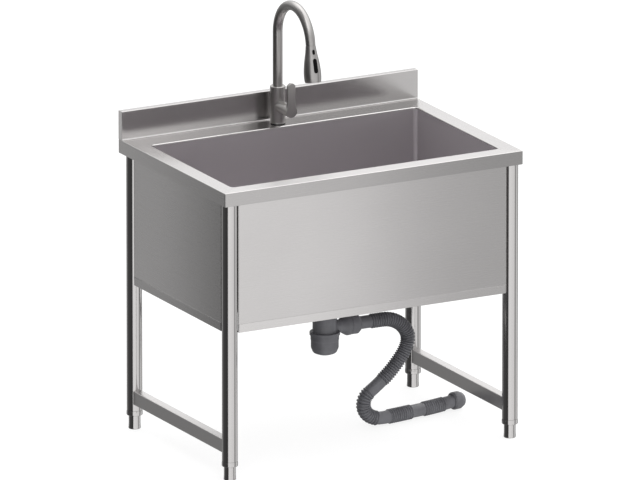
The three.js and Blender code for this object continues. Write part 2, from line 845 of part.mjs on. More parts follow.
addPiece("rim_deck", rimDeck(), brushedSteel);
addPiece("backsplash", backsplash(), brushedSteel);
addPiece("basin", basin(), brushedSteel);
addPanels();
addLegs();
addPiece("side_rail_left", sideRail(), brushedSteel, { x: -LEG_X });
addPiece("side_rail_right", sideRail(), brushedSteel, { x: LEG_X });

const atDrain = { ...drain, z: drainSeat };
addPiece("drain_flange", drainFlange(), brushedSteel, atDrain);
addPiece("drain_gasket", drainGasket(), blackRubber, atDrain);
addPiece("drain_locknut", drainLocknut(), charcoalPlastic, atDrain);
addPiece("strainer_basket", strainerBasket(), brushedSteel, atDrain);
addPiece("trap_inlet_nut", trapInletNut(), charcoalPlastic, drain);
addPiece("trap_body", trapBody(), charcoalPlastic, drain);
addPiece("trap_dip_tube", dipTube(), charcoalPlastic, drain);
addPiece("trap_seal", trapSeal(), blackRubber, drain);
addPiece("trap_bottle", trapBottle(), charcoalPlastic, drain);
addPiece("outlet_nut", outletNut(), charcoalPlastic, { ...drain, z: TRAP_AXIS_Z });
addPiece("drain_hose", drainHose(), charcoalPlastic);
addHoseFitting();
addFaucet();

export default sink;
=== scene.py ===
"""The looks of a free-standing stainless sink with one deep basin, a backsplash and a pull-down faucet.

Every place comes from the CAD frame. Shapes are worked out in millimetres, in the frame's own axes (+X right,
+Y back, +Z up, origin on the floor), and make_mesh turns them into metres. A shape is a pair: a list of
points and a list of faces, each face a list of point numbers.
"""

import math

import bmesh
import bpy
from mathutils import Matrix, Vector


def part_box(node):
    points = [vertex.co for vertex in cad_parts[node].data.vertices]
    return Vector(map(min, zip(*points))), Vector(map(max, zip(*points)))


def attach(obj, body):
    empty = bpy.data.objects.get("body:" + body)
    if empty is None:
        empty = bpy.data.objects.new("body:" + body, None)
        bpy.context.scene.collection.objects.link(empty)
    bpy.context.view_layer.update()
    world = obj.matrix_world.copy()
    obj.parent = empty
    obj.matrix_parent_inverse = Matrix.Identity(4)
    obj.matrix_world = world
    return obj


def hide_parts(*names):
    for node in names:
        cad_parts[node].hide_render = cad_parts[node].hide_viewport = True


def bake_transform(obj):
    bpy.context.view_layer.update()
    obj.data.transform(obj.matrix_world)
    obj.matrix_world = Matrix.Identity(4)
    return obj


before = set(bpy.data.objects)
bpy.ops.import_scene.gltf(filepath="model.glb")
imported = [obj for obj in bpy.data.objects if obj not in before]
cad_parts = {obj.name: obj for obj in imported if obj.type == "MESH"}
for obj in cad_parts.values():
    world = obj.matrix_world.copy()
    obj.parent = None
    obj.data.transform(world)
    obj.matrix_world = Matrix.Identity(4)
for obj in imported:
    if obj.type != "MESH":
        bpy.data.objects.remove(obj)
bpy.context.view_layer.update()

MM = 0.001
CORNERS = ("front_left", "front_right", "back_left", "back_right")

# ---- camera: a long lens at the front left, slightly above ----

CAMERA_AZIMUTH = math.radians(-28.06)
CAMERA_ELEVATION = math.radians(16)
AIM = Vector((-0.0011, 0.0006, 0.535))
VIEW_WIDTH = 1.714  # metres across the picture at the aim point
# A long lens keeps the picture almost free of perspective. The other views clip at 100 times the object's
# radius, and a lens over about 1300 would stand beyond that.
LENS = 1200
SENSOR = 36
FARTHEST_SEEN = 200


def make_camera():
    data = bpy.data.cameras.new("camera")
    data.lens = LENS
    data.sensor_width = SENSOR
    data.clip_end = FARTHEST_SEEN
    camera = bpy.data.objects.new("camera", data)
    bpy.context.scene.collection.objects.link(camera)
    towards = Vector((
        math.sin(CAMERA_AZIMUTH) * math.cos(CAMERA_ELEVATION),
        -math.cos(CAMERA_AZIMUTH) * math.cos(CAMERA_ELEVATION),
        math.sin(CAMERA_ELEVATION),
    ))
    camera.location = AIM + towards * VIEW_WIDTH * LENS / SENSOR
    camera.rotation_euler = (-towards).to_track_quat("-Z", "Y").to_euler()
    bpy.context.scene.camera = camera


make_camera()

# ---- outlines: lists of (a, b) points ----


def rounded(corners, closed=True, steps=6):
    """The outline through corners (a, b) or (a, b, radius), with an arc at each corner that has a radius."""
    outline = []
    for i, (a, b, *radius) in enumerate(corners):
        here = Vector((a, b))
        at_end = not closed and i in (0, len(corners) - 1)
        if not radius or at_end:
            outline.append(here)
            continue
        back = (Vector(corners[i - 1][:2]) - here).normalized()
        ahead = (Vector(corners[(i + 1) % len(corners)][:2]) - here).normalized()
        half = back.angle(ahead) / 2
        centre = here + (back + ahead).normalized() * radius[0] / math.sin(half)
        first = here + back * radius[0] / math.tan(half) - centre
        last = here + ahead * radius[0] / math.tan(half) - centre
        start = math.atan2(first.y, first.x)
        sweep = math.remainder(math.atan2(last.y, last.x) - start, math.tau)
        outline += [
            centre + polar(radius[0], start + sweep * k / steps) for k in range(steps + 1)
        ]
    return outline


def polar(radius, angle):
    return Vector((radius * math.cos(angle), radius * math.sin(angle)))


def rectangle(low, high, radius, steps=6):
    x0, y0, x1, y1 = low[0], low[1], high[0], high[1]
    corners = [(x0, y0, radius), (x1, y0, radius), (x1, y1, radius), (x0, y1, radius)]
    return rounded(corners, steps=steps)


def inset(outline, distance):
    """The closed outline moved inwards, with as many points."""
    count = len(outline)
    area = sum(p.cross(outline[(i + 1) % count]) for i, p in enumerate(outline))
    side = math.copysign(distance, area)
    shifted = []
    for i, here in enumerate(outline):
        before = (here - outline[i - 1]).normalized()
        after = (outline[(i + 1) % count] - here).normalized()
        across = Vector((-before.y - after.y, before.x + after.x))
        shifted.append(here + across * side / (1 + before.dot(after)))
    return shifted


def curve_through(points, steps=8):
    """A smooth open curve through points, as a Catmull-Rom spline."""
    vectors = [Vector(p) for p in points]
    padded = [2 * vectors[0] - vectors[1], *vectors, 2 * vectors[-1] - vectors[-2]]
    curve = []
    for a, b, c, d in zip(padded, padded[1:], padded[2:], padded[3:]):
        for k in range(steps):
            t = k / steps
            bend = (2 * a - 5 * b + 4 * c - d) * t**2
            twist = (3 * b - a - 3 * c + d) * t**3
            curve.append((2 * b + (c - a) * t + bend + twist) / 2)
    return [*curve, vectors[-1]]


# ---- shapes ----


def skin(rings, wrap=False, caps=True):
    """Faces between neighbouring rings. Open ends get flat caps, unless the last ring joins the first."""
    count = len(rings[0])
    points = [Vector(p) for ring in rings for p in ring]
    last = len(rings) if wrap else len(rings) - 1
    faces = []
    for k in range(last):
        a, b = k * count, (k + 1) % len(rings) * count
        for i in range(count):
            j = (i + 1) % count
            faces.append([a + i, a + j, b + j, b + i])
    if caps and not wrap:
        faces.append(list(reversed(range(count))))
        faces.append(list(range(len(points) - count, len(points))))
    return points, faces


def level(outline, z):
    return [(p[0], p[1], z) for p in outline]


def circle(radius, z, segments):
    return level([polar(radius, math.tau * i / segments) for i in range(segments)], z)


def turned(profile, segments=72):
    """A solid of revolution about Z. The profile is [radius, height], and closes on itself or on the axis."""
    on_axis = profile[0][0] < 1e-6
    rings = [circle(r, z, segments) for r, z, *_ in profile]
    return skin(rings, wrap=not on_axis, caps=False)


def lathe(*corners, segments=72, steps=5):
    """turned, from corners (radius, height) or (radius, height, fillet)."""
    on_axis = corners[0][0] == 0
    return turned(rounded(corners, closed=not on_axis, steps=steps), segments)


def prism(outline, start, end, bevel=0.0, steps=4):
    """The outline drawn out along Z, with its two rims rounded."""
    if bevel == 0:
        return skin([level(outline, start), level(outline, end)])
    angles = [math.pi / 2 * k / steps for k in range(steps + 1)]
    rounding = [(bevel * (1 - math.sin(a)), bevel * (1 - math.cos(a))) for a in angles]
    lower = [level(inset(outline, d), start + rise) for d, rise in rounding]
    upper = [level(inset(outline, d), end - rise) for d, rise in reversed(rounding)]
    return skin(lower + upper)


def block(low, high, radius=0.6):
    return prism(rectangle(low, high, radius, steps=3), low[2], high[2], radius * 0.8, steps=3)


def joined(*shapes):
    points, faces = [], []
    for more_points, more_faces in shapes:
        start = len(points)
        points += more_points
        faces += [[start + i for i in face] for face in more_faces]
    return points, faces


def placed(shape, matrix):
    points, faces = shape
    return [matrix @ Vector(p) for p in points], faces


def moved(shape, x=0.0, y=0.0, z=0.0, turn=0.0):
    return placed(shape, Matrix.Translation((x, y, z)) @ Matrix.Rotation(turn, 4, "Z"))


# An outline (a, b) drawn out along Z turns into Y and Z drawn out along X.
ALONG_X = Matrix(((0, 0, 1, 0), (1, 0, 0, 0), (0, 1, 0, 0), (0, 0, 0, 1)))
FACING_RIGHT = Matrix.Rotation(math.pi / 2, 4, "Y")
FACING_FRONT = Matrix.Rotation(math.pi / 2, 4, "X")


def frames_along(path):
    """For each point of a path: the point and two directions across it, turning as little as possible."""
    points = [Vector(p) for p in path]
    ahead = [(b - a).normalized() for a, b in zip(points, points[1:])]
    tangents = [ahead[0]] + [(a + b).normalized() for a, b in zip(ahead, ahead[1:])] + [ahead[-1]]
    across = tangents[0].orthogonal().normalized()
    frames = []
    for point, tangent in zip(points, tangents):
        across = (across - tangent * across.dot(tangent)).normalized()
        frames.append((point, across, tangent.cross(across)))
    return frames


def ring_in(frame_at, radius, segments):
    point, across, up = frame_at
    angles = [math.tau * i / segments for i in range(segments)]
    return [point + across * radius * math.cos(a) + up * radius * math.sin(a) for a in angles]


def pipe_along(path, outer, inner, segments=48):
    frames = frames_along(path)
    outside = [ring_in(f, outer, segments) for f in frames]
    inside = [ring_in(f, inner, segments) for f in reversed(frames)]
    return skin(outside + inside, wrap=True)


def thread(radius, depth, pitch, bottom, top, segments=24):
    """A threaded rod with a flat end at the bottom; its top is hidden in the nut."""
    per_turn = 6
    count = int((top - bottom) / pitch * per_turn)
    rings = [circle(radius - depth, bottom, segments)]
    for k in range(count + 1):
        z = bottom + k * pitch / per_turn
        ring = []
        for i in range(segments):
            phase = (k / per_turn - i / segments) % 1
            r = radius - depth * abs(2 * phase - 1)
            ring.append((*polar(r, math.tau * i / segments), z))
        rings.append(ring)
    return skin(rings)


# ---- from shapes to objects ----


def make_mesh(name, shape):
    points, faces = shape
    mesh = bpy.data.meshes.new(name)
    mesh.from_pydata([Vector(p) * MM for p in points], [], faces)
    work = bmesh.new()
    work.from_mesh(mesh)
    bmesh.ops.remove_doubles(work, verts=work.verts, dist=2e-6)
    bmesh.ops.dissolve_degenerate(work, edges=work.edges, dist=1e-7)
    bmesh.ops.recalc_face_normals(work, faces=work.faces)
    work.to_mesh(mesh)
    work.free()
    return mesh


def combined(shape, tool, operation):
    """The Boolean UNION or DIFFERENCE of two closed shapes."""
    objects = []
    for part in (shape, tool):
        made = bpy.data.objects.new("boolean", make_mesh("boolean", part))
        bpy.context.scene.collection.objects.link(made)
        objects.append(made)
    modifier = objects[0].modifiers.new("boolean", "BOOLEAN")
    modifier.operation = operation
    modifier.object = objects[1]
    modifier.solver = "EXACT"
    modifier.use_self = operation == "DIFFERENCE"
    bpy.context.view_layer.update()
    result = objects[0].evaluated_get(bpy.context.evaluated_depsgraph_get()).to_mesh()
    points = [v.co / MM for v in result.vertices]
    faces = [list(p.vertices) for p in result.polygons]
    for made in objects:
        mesh = made.data
        bpy.data.objects.remove(made)
        bpy.data.meshes.remove(mesh)
    return points, faces


def make_piece(name, shape, slot, replaces=(), body="sink", finish=None, sharp=38):
    """An object in the slot's material, or in finish, that rides on a body and stands for CAD nodes."""
    mesh = make_mesh(name, shape)
    mesh.polygons.foreach_set("use_smooth", [True] * len(mesh.polygons))
    mesh.set_sharp_from_angle(angle=math.radians(sharp))
    mesh.materials.append(finish or materials[slot])
    piece = bpy.data.objects.new(name, mesh)
    bpy.context.scene.collection.objects.link(piece)
    weighted = piece.modifiers.new("weighted_normals", "WEIGHTED_NORMAL")
    weighted.keep_sharp = True
    if body:
        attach(piece, body)
    if replaces:
        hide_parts(*replaces)
    return piece


def box(node):
    """Lowest and highest corner of a CAD node, in millimetres."""
    low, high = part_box(node)
    return low / MM, high / MM


def middle(node):
    low, high = box(node)
    return (low + high) / 2


# ---- materials ----


def new_material(name, color, roughness, metallic=0.0):
    material = bpy.data.materials.new(name)
    material.use_nodes = True
    shader = material.node_tree.nodes["Principled BSDF"]
    shader.inputs["Base Color"].default_value = (*color, 1)
    shader.inputs["Roughness"].default_value = roughness
    shader.inputs["Metallic"].default_value = metallic
    return material


def noise(material, scale, detail=3.0, stretch=(1, 1, 1)):
    """A noise in the object's own space; stretch is how often it repeats along each axis."""
    tree = material.node_tree
    place = tree.nodes.new("ShaderNodeTexCoord")
    mapping = tree.nodes.new("ShaderNodeMapping")
    mapping.inputs["Scale"].default_value = stretch
    texture = tree.nodes.new("ShaderNodeTexNoise")
    texture.inputs["Scale"].default_value = scale
    texture.inputs["Detail"].default_value = detail
    tree.links.new(place.outputs["Object"], mapping.inputs["Vector"])
    tree.links.new(mapping.outputs["Vector"], texture.inputs["Vector"])
    return texture.outputs["Fac"]


def map_range(tree, value, start, end, low=0.0, high=1.0):
    """A node that goes from low to high as the value goes from start to end."""
    spread = tree.nodes.new("ShaderNodeMapRange")
    spread.inputs["From Min"].default_value = start
    spread.inputs["From Max"].default_value = end
    spread.inputs["To Min"].default_value = low
    spread.inputs["To Max"].default_value = high
    tree.links.new(value, spread.inputs["Value"])
    return spread


def vary_roughness(material, pattern, low, high):
    tree = material.node_tree
    spread = map_range(tree, pattern, 0.3, 0.7, low, high)
    tree.links.new(spread.outputs["Result"], tree.nodes["Principled BSDF"].inputs["Roughness"])


def vary_color(material, pattern, dark, light):
    tree = material.node_tree
    ramp = tree.nodes.new("ShaderNodeValToRGB")
    ramp.color_ramp.elements[0].position = 0.35
    ramp.color_ramp.elements[0].color = (*dark, 1)
    ramp.color_ramp.elements[1].position = 0.65
    ramp.color_ramp.elements[1].color = (*light, 1)
    tree.links.new(pattern, ramp.inputs["Fac"])
    tree.links.new(ramp.outputs["Color"], tree.nodes["Principled BSDF"].inputs["Base Color"])


def add_bump(material, pattern, strength, height):
    tree = material.node_tree
    bump = tree.nodes.new("ShaderNodeBump")
    bump.inputs["Strength"].default_value = strength
    bump.inputs["Distance"].default_value = height
    tree.links.new(pattern, bump.inputs["Height"])
    tree.links.new(bump.outputs["Normal"], tree.nodes["Principled BSDF"].inputs["Normal"])


def shaded(color, factor):
    return tuple(c * factor for c in color)


# How often the scratches repeat along each axis, when they run along one of them.
ALONG = {"x": (12, 2600, 2600), "y": (2600, 12, 2600), "z": (2600, 2600, 12)}


def brushed_metal(name, color, roughness, grain=ALONG["x"]):
    """Metal with fine scratches along one axis, and a faint cloudiness over larger patches."""
    material = new_material(name, color, roughness, metallic=1)
    scratches = noise(material, 1, detail=2, stretch=grain)
    vary_roughness(material, scratches, roughness * 0.94, roughness * 1.06)
    vary_color(material, noise(material, 3.5, detail=2), shaded(color, 0.97), color)
    add_bump(material, scratches, 0.01, 0.00005)
    return material


def moulded_plastic(name, color, roughness, grain=0.08, gloss=0.5):
    """Plastic with a fine orange-peel skin and slightly uneven gloss."""
    material = new_material(name, color, roughness)
    material.node_tree.nodes["Principled BSDF"].inputs["Specular IOR Level"].default_value = gloss
    vary_roughness(material, noise(material, 60), roughness * 0.85, roughness * 1.15)
    vary_color(material, noise(material, 25), shaded(color, 0.88), shaded(color, 1.1))
    add_bump(material, noise(material, 900, detail=2), grain, 0.0004)
    return material


def braid():
    """Crossing strands of steel wire round a thin hose."""
    material = new_material("braided_hose", (0.5, 0.5, 0.5), 0.35, metallic=1)
    tree = material.node_tree
    place = tree.nodes.new("ShaderNodeTexCoord")
    checker = tree.nodes.new("ShaderNodeTexChecker")
    checker.inputs["Scale"].default_value = 600
    tree.links.new(place.outputs["Object"], checker.inputs["Vector"])
    vary_color(material, checker.outputs["Fac"], (0.2, 0.2, 0.2), (0.6, 0.6, 0.6))
    add_bump(material, checker.outputs["Fac"], 0.4, 0.0004)
    return material


STEEL = (0.62, 0.605, 0.6)
NICKEL = (0.43, 0.418, 0.41)

materials = {
    "sheet_steel": brushed_metal("sheet_steel_along_x", STEEL, 0.17, ALONG["x"]),
    "tube_steel": brushed_metal("tube_steel", STEEL, 0.12, ALONG["z"]),
    "drain_steel": brushed_metal("drain_steel", STEEL, 0.2, ALONG["z"]),
    "faucet_nickel": brushed_metal("faucet_nickel", NICKEL, 0.3, ALONG["z"]),
    "brass": brushed_metal("brass", (0.7, 0.5, 0.2), 0.3),
    "zinc_screw": brushed_metal("zinc_screw", (0.6, 0.6, 0.62), 0.35),
    "charcoal_plastic": moulded_plastic("charcoal_plastic", (0.16, 0.16, 0.174), 0.42),
    "black_plastic": moulded_plastic("black_plastic", (0.002, 0.002, 0.002), 0.5, grain=0.02, gloss=0.1),
    "white_plastic": moulded_plastic("white_plastic", (0.75, 0.74, 0.7), 0.4),
    "black_rubber": moulded_plastic("black_rubber", (0.012, 0.012, 0.013), 0.75),
    "braided_hose": braid(),
}
rail_steel = brushed_metal("rail_steel", STEEL, 0.3, ALONG["y"])
strip_finish = {
    "x": brushed_metal("rim_strip_along_x", STEEL, 0.34, ALONG["x"]),
    "y": brushed_metal("rim_strip_along_y", STEEL, 0.24, ALONG["y"]),
}
# Painted shade: the skirt panels take darker copies of the same steel, the left and right panels darker than
# the front and back.
skirt_painted_shade = {
    "x": brushed_metal("skirt_painted_shade_along_x", shaded(STEEL, 0.61), 0.26, ALONG["x"]),
    "y": brushed_metal("skirt_painted_shade_along_y", shaded(STEEL, 0.42), 0.26, ALONG["y"]),
}
# Painted light and shade: the pressed strip along a skirt's bottom takes its own copy of the steel, lighter
# than the front and back skirts and darker than the left and right skirts.
strip_painted_shading = {
    "x": brushed_metal("strip_painted_shading_along_x", shaded(STEEL, 0.67), 0.26, ALONG["x"]),
    "y": brushed_metal("strip_painted_shading_along_y", shaded(STEEL, 0.34), 0.26, ALONG["y"]),
}
# Painted shade: the rim's apron takes darker copies of the steel, the long front and back sides darker than
# the short ends.
apron_painted_shade = {
    "x": brushed_metal("apron_painted_shade_along_x", shaded(STEEL, 0.48), 0.26, ALONG["x"]),
    "y": brushed_metal("apron_painted_shade_along_y", shaded(STEEL, 0.6), 0.26, ALONG["y"]),
}
# Painted shade: the backsplash is a darker copy of the steel.
backsplash_painted_shade = brushed_metal("backsplash_painted_shade", shaded(STEEL, 0.85), 0.23, ALONG["x"])
# Painted shade: the basin is a darker copy of the steel, tinted slightly pink.
basin_painted_shade = brushed_metal("basin_painted_shade", (0.585, 0.558, 0.575), 0.42, ALONG["x"])

# ---- drain hose: the free hose of the trap, along a listed route ----

HOSE_VALLEY = 15.8
HOSE_CREST = 20.2
CUFF_RADIUS = 17.6
RIB_PITCH = 7.0
RING_STEP = 0.95

drain_axis = middle("trap_bottle")
hose_route = [
    Vector((drain_axis.x + x, drain_axis.y + y, z))
    for x, y, z in (
        (103.3, 0, 296), (119, 0, 296), (136, 0, 296), (153, 0, 296), (170, 0, 296), (188, 0, 295),
        (206, 0, 290.5), (224, 0, 281), (238, 0, 268.5), (248.5, 0, 253), (253, 0, 235), (249, 0, 215),
        (238, 0, 194), (222, 0, 173), (204, 0, 153), (186, 0, 136), (168, 0, 121.5), (149, 0, 107.5),
        (131, 0, 94), (120, 0, 78), (118, 0, 60), (124, 0, 44), (137, 0, 31), (157, 0, 22.5),
        (180, 1.5, 20.5), (205, 4.5, 20.5), (240, 10, 20.5), (280, 17, 20.5), (320, 24, 20.5),
        (360, 31, 21.3), (392, 36.6, 22.9), (412, 40.1, 24.1),
    )
]


def even_steps(path, step):
    """Points along a path at even distances, with its two ends."""
    lengths = [0.0]
    for a, b in zip(path, path[1:]):
        lengths.append(lengths[-1] + (b - a).length)
    count = round(lengths[-1] / step)
    points, k = [], 0
    for i in range(count + 1):
        along = lengths[-1] * i / count
        while k < len(path) - 2 and lengths[k + 1] < along:
            k += 1
        share = (along - lengths[k]) / (lengths[k + 1] - lengths[k])
        points.append(path[k].lerp(path[k + 1], share))
    return points


def add_drain_hose():
    centre_line = even_steps(curve_through(hose_route, steps=12), RING_STEP)
    total = RING_STEP * (len(centre_line) - 1)
    # Smooth cuffs, as stretches of the length from the trap.
    cuffs = [(0, 34), (318, 368), (466, 506), (580, 622), (total - 32, total)]
    radii = [hose_radius(RING_STEP * i, cuffs) for i in range(len(centre_line))]
    rings = [ring_in(f, r, 40) for f, r in zip(frames_along(centre_line), radii)]
    hose = make_piece("corrugated_hose", skin(rings), "charcoal_plastic", ["drain_hose"], sharp=60)
    return hose, centre_line


def hose_radius(along, cuffs):
    for start, end in cuffs:
        if start <= along <= end:
            return CUFF_RADIUS
    wave = 0.5 - 0.5 * math.cos(math.tau * along / RIB_PITCH)
    return HOSE_VALLEY + (HOSE_CREST - HOSE_VALLEY) * wave**0.5


def add_hose_coupling():
    """The round coupling on the hose's end, level with the floor."""
    before, end = hose_route[-2:]
    heading = math.atan2(end.y - before.y, end.x - before.x)
    start, length, radius, bore = -3.5, 33.5, 24, 17.9
    coupling = lathe(
        (bore, start), (radius - 4, start, 0.8), (radius, start + 4, 1.5), (radius, length - 15, 6),
        (radius - 5, length - 3.5, 5), (bore - 3, length, 4), (bore - 8, length - 1, 1),
        (bore - 8, start + 4), (bore, start + 4),
    )
    shape = placed(coupling, FACING_RIGHT)
    low, _ = box("hose_end_fitting")
    shape = moved(shape, end.x, end.y, low.z + radius, turn=heading)
    return make_piece("hose_coupling", shape, "charcoal_plastic", ["hose_end_fitting"])


def declare_hose():
    hose, centre_line = add_drain_hose()
    coupling = add_hose_coupling()


declare_hose()

# ---- top: rim, backsplash and basin, as closed loops of points at falling heights ----

FOLD = 2.0  # outer radius of a folded edge
MOUTH_FOLD = 3.0  # the deck's edge rolls down into the basin by this much
SHEET = 1.5
BASIN_CORNER = 12
BASIN_FLANGE = 5 + SHEET
BASIN_FLOOR = 450  # height of the floor where it meets the walls
BASIN_FLOOR_FOLD = 14
DRAIN_HOLE = 44

deck_low, deck_high = box("rim_deck")
basin_low, basin_high = box("basin")
drain_seat = basin_low.z + SHEET
mouth_low = basin_low + Vector((BASIN_FLANGE, BASIN_FLANGE, 0))
mouth_high = basin_high - Vector((BASIN_FLANGE, BASIN_FLANGE, 0))
quarter_turn = [math.pi / 2 * k / 6 for k in range(7)]


def rim_ring(inward, z):
    corner = max(FOLD - inward, 0.4)
    low = (deck_low.x + inward, deck_low.y + inward)
    high = (deck_high.x - inward, deck_high.y - inward)
    return level(rectangle(low, high, corner, steps=12), z)


def mouth_ring(outward, z):
    low = (mouth_low.x - outward, mouth_low.y - outward)
    high = (mouth_high.x + outward, mouth_high.y + outward)
    return level(rectangle(low, high, BASIN_CORNER + outward, steps=12), z)


def rim_shape():
    top, bottom = deck_high.z, deck_low.z
    inner = FOLD - SHEET
    mouth_inner = MOUTH_FOLD - SHEET
    rings = [rim_ring(SHEET, bottom + 0.4), rim_ring(SHEET / 2, bottom), rim_ring(0, bottom + 0.5)]
    rings += [
        rim_ring(FOLD * (1 - math.cos(a)), top - FOLD * (1 - math.sin(a))) for a in quarter_turn
    ]
    rings += [
        mouth_ring(MOUTH_FOLD * (1 - math.sin(a)), top - MOUTH_FOLD * (1 - math.cos(a)))
        for a in quarter_turn
    ]
    rings += [
        mouth_ring(MOUTH_FOLD - mouth_inner * math.sin(a), top - MOUTH_FOLD + mouth_inner * math.cos(a))
        for a in reversed(quarter_turn)
    ]
    rings += [
        rim_ring(FOLD - inner * math.cos(a), top - FOLD + inner * math.sin(a))
        for a in reversed(quarter_turn)
    ]
    return skin(rings, wrap=True)


REAR_DECK, FRONT_STRIP, SIDE_STRIP, LONG_APRON, SIDE_APRON = range(5)


def finish_rim(mesh):
    """The rear deck is the most polished and the apron the darkest, by painted shade in its colour. Each is
    brushed along its length.
    """
    for finish in (strip_finish["x"], strip_finish["y"], apron_painted_shade["x"], apron_painted_shade["y"]):
        mesh.materials.append(finish)
    for face in mesh.polygons:
        if abs(face.normal.z) > 0.4:
            beside_mouth = not mouth_low.x * MM < face.center.x < mouth_high.x * MM
            ahead_of_mouth = face.center.y < mouth_low.y * MM
            along_x = FRONT_STRIP if ahead_of_mouth else REAR_DECK
            face.material_index = SIDE_STRIP if beside_mouth else along_x
        else:
            faces_y = abs(face.normal.y) > abs(face.normal.x)
            face.material_index = LONG_APRON if faces_y else SIDE_APRON


def add_rim():
    rim = make_piece("rim", rim_shape(), "sheet_steel", ["rim_deck"])
    finish_rim(rim.data)
    return rim


def add_backsplash():
    low, high = box("backsplash")
    profile = rounded([
        (low.y, low.z), (high.y, low.z), (high.y, high.z, FOLD), (low.y, high.z, FOLD),
    ])
    sheet = placed(prism(profile, low.x, high.x, bevel=0.8), ALONG_X)
    cove = 3.5
    bottom = low.z - 0.2
    hollow = [
        (low.y - cove * (1 - math.cos(a)), bottom + cove * (1 - math.sin(a)) + 0.1) for a in quarter_turn
    ]
    weld = rounded([(low.y + 0.3, bottom), (low.y + 0.3, bottom + cove + 0.4), *hollow])
    bead = placed(skin([level(weld, low.x + 1), level(weld, high.x - 1)]), ALONG_X)
    shape = joined(sheet, bead)
    # The backsplash's colour is painted shade.
    return make_piece("backsplash_sheet", shape, "sheet_steel", ["backsplash"], finish=backsplash_painted_shade)


def drain_ring(radius, z):
    centre = middle("drain_flange")
    low = (centre.x - radius, centre.y - radius)
    high = (centre.x + radius, centre.y + radius)
    return level(rectangle(low, high, radius * 0.999, steps=12), z)


def basin_shape():
    """The bowl: a skin inside, a skin outside, joined at the flange and round the drain's hole."""
    top = basin_high.z
    mouth_top = deck_high.z - MOUTH_FOLD - 0.2
    fold = BASIN_FLOOR_FOLD
    inside = [mouth_ring(0, mouth_top)]
    inside += [
        mouth_ring(-fold * (1 - math.cos(a)), BASIN_FLOOR + fold * (1 - math.sin(a)))
        for a in quarter_turn
    ]
    inside += [
        drain_ring(62, drain_seat + 0.4), drain_ring(57, drain_seat), drain_ring(DRAIN_HOLE, drain_seat),
    ]
    outside = [drain_ring(DRAIN_HOLE, drain_seat - SHEET), drain_ring(62, drain_seat - SHEET)]
    fold += SHEET
    outside += [
        mouth_ring(SHEET - fold * (1 - math.cos(a)), BASIN_FLOOR - SHEET + fold * (1 - math.sin(a)))
        for a in reversed(quarter_turn)
    ]
    outside += [mouth_ring(SHEET, top - SHEET - 2), mouth_ring(SHEET + 0.5, top - SHEET)]
    flange = [mouth_ring(BASIN_FLANGE, top - SHEET), mouth_ring(BASIN_FLANGE, top)]
    lip = [mouth_ring(SHEET + 2, top), mouth_ring(SHEET + 0.1, mouth_top)]
    return skin(inside + outside + flange + lip, wrap=True)


rim = add_rim()
backsplash = add_backsplash()
# The bowl's colour is painted shade.
basin = make_piece("basin_bowl", basin_shape(), "sheet_steel", ["basin"], finish=basin_painted_shade)

# ---- skirt panels: made facing -Y with the middle of the face's lower edge at the origin ----

PANEL_RETURN = 4
PANEL_BOTTOM_RETURN = 16
STRIP_HEIGHT = 24.4  # the pressed strip along the bottom
HEM_PROUD = 1.2  # how far that strip stands out
SIDE_PANEL_GAP = 4  # how much more a side panel's ends stand off from the legs


def panel_shape(half, height):
    folded = rounded([
        (0, height), (0, 0, FOLD), (PANEL_BOTTOM_RETURN, 0), (PANEL_BOTTOM_RETURN, SHEET),
        (SHEET, SHEET, FOLD - SHEET), (SHEET, height),
    ])
    # The strip along the bottom stands proud, and leans back a little towards its lower edge.
    strip = rounded([(0.4, 0.4), (-0.5, 0.1, 0.4), (-HEM_PROUD, 23.2, 0.5), (0.4, 24.2)])
    return joined(
        placed(prism(folded, 2 - half, half - 2), ALONG_X),
        placed(prism(strip, 2 - half, half - 2), ALONG_X),
        block((-half, 0, 1), (2.1 - half, PANEL_RETURN, height), 0.6),
        block((half - 2.1, 0, 1), (half, PANEL_RETURN, height), 0.6),
    )


def add_panel(side, turn):
    low, high = box(f"{side}_panel")
    centre = (low + high) / 2
    along = "x" if side in ("front", "back") else "y"
    across = (high - low).x if along == "x" else (high - low).y - 2 * SIDE_PANEL_GAP
    face_out = {
        "front": (centre.x, low.y + HEM_PROUD),
        "back": (centre.x, high.y - HEM_PROUD),
        "left": (low.x + HEM_PROUD, centre.y),
        "right": (high.x - HEM_PROUD, centre.y),
    }[side]
    shape = moved(panel_shape(across / 2, high.z - low.z), *face_out, low.z, turn=turn)
    # The panel's colour is painted shade, darker on the left and right panels.
    piece = make_piece(f"{side}_skirt", shape, "sheet_steel", [f"{side}_panel"], finish=skirt_painted_shade[along])
    piece.data.materials.append(strip_painted_shading[along])
    # The faces of the bottom strip take the strip's copy of the steel, with its painted light and shade.
    for face in piece.data.polygons:
        face.material_index = int(face.center.z < (low.z + STRIP_HEIGHT) * MM)
    return piece


front_skirt = add_panel("front", 0)
add_panel("back", math.pi)
left_skirt = add_panel("left", -math.pi / 2)
right_skirt = add_panel("right", math.pi / 2)

# ---- legs ----

STUD_RADIUS = 6
COLLAR_SHOULDER = 47
COLLAR_TOP = 52
FOOT_TOP = 37.7

leg_low, leg_high = box("leg_front_left")
leg_radius = (leg_high - leg_low).x / 2
leg_bore = leg_radius - SHEET


def add_leg(corner):
    low, high = box(f"leg_{corner}")
    centre = (low + high) / 2
    tube = lathe(
        (leg_bore, low.z), (leg_radius, low.z, 0.5), (leg_radius, high.z, 0.5), (leg_bore, high.z),
        segments=96,
    )
    make_piece(f"leg_tube_{corner}", moved(tube, centre.x, centre.y), "tube_steel", [f"leg_{corner}"])
    add_leg_plug(corner, centre)
    add_foot(corner, centre)


